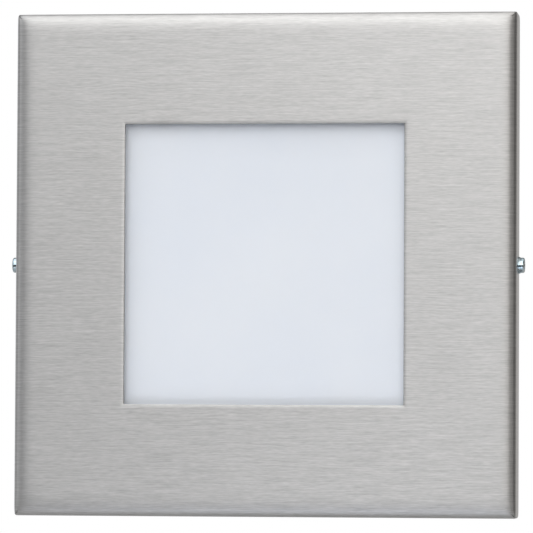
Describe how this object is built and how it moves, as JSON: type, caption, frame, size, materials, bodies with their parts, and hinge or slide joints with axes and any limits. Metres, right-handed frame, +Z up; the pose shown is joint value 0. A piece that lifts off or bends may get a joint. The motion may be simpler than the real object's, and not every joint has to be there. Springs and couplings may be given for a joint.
{
  "type": "recessed wall light",
  "caption": "Square recessed wall light: folded brushed-steel cover with an opal window, held by side screws over a moulded wall box with its LED gear.",
  "frame": {"origin": "on the wall surface, at the centre of the four wall-screw holes, behind the middle of the window", "axes": "+X to the right as seen from the room, +Y into the wall, +Z up; the window faces -Y"},
  "size_m": [0.236, 0.0955, 0.23],
  "materials": {
    "brushed_stainless": "horizontal grain",
    "zinc_plate": "blue zinc",
    "galvanised": "spangled",
    "opal": "opal satin",
    "black_mould": "moulded grain",
    "grey_silicone": "silicone",
    "black_foam": "closed-cell foam",
    "black_rubber": "soft",
    "brass": "turned",
    "white_paint": "powder coat",
    "board_white": "solder mask on aluminium",
    "led_resin": "phosphor",
    "white_mould": "moulded",
    "tin_plate": "tinned",
    "brown_pvc": "insulation",
    "blue_pvc": "insulation",
    "green_pvc": "insulation",
    "red_pvc": "insulation",
    "black_pvc": "insulation"
  },
  "bodies": {
    "housing": {"right_weld_nut": "galvanised", "left_weld_nut": "galvanised", "cover_frame": "galvanised", "frame_screws": "zinc_plate", "opal_diffuser": "opal", "box_gasket": "grey_silicone", "wall_seal": "black_foam", "recess_box": "black_mould", "thread_inserts": "brass", "left_cable_grommet": "black_rubber", "right_cable_grommet": "black_rubber", "gear_tray": "galvanised", "tray_screws": "zinc_plate", "reflector": "white_paint", "thermal_pad": "grey_silicone", "led_board": "board_white", "board_screws": "zinc_plate", "leds": "led_resin", "board_connector": "white_mould", "wire_bush": "black_rubber", "led_driver": "white_mould", "driver_screws": "zinc_plate", "terminal_block": "white_mould", "terminal_sleeves": "brass", "clamp_screws": "zinc_plate", "terminal_screw": "zinc_plate", "earth_stud": "zinc_plate", "earth_nut": "zinc_plate", "ring_terminal": "tin_plate", "live_wire": "brown_pvc", "neutral_wire": "blue_pvc", "earth_wire": "green_pvc", "led_wire_positive": "red_pvc", "led_wire_negative": "black_pvc"},
    "cover": {"front_cover": "brushed_stainless"},
    "left_washer": {"left_spring_washer": "zinc_plate"},
    "left_screw": {"left_side_screw": "zinc_plate"},
    "right_washer": {"right_spring_washer": "zinc_plate"},
    "right_screw": {"right_side_screw": "zinc_plate"}
  },
  "joints": [
    {"name": "cover_pull_off", "type": "slide", "parent": "housing", "child": "cover", "axis": [0, -1, 0], "range_m": [0, 0.04]},
    {"name": "left_screw_travel", "type": "slide", "parent": "housing", "child": "left_washer", "axis": [-1, 0, 0], "range_m": [0, 0.0028]},
    {"name": "left_screw_turn", "type": "hinge", "parent": "left_washer", "child": "left_screw", "pos_m": [-0.116, -0.00675, 0], "axis": [-1, 0, 0], "range_deg": [0, 1440]},
    {"name": "right_screw_travel", "type": "slide", "parent": "housing", "child": "right_washer", "axis": [1, 0, 0], "range_m": [0, 0.0028]},
    {"name": "right_screw_turn", "type": "hinge", "parent": "right_washer", "child": "right_screw", "pos_m": [0.116, -0.00675, 0], "axis": [1, 0, 0], "range_deg": [0, 1440]}
  ],
  "couplings": [
    {"joint": "left_screw_turn", "follows": "left_screw_travel", "rad_per_m": 8975.9},
    {"joint": "right_screw_turn", "follows": "right_screw_travel", "rad_per_m": 8975.9}
  ]
}
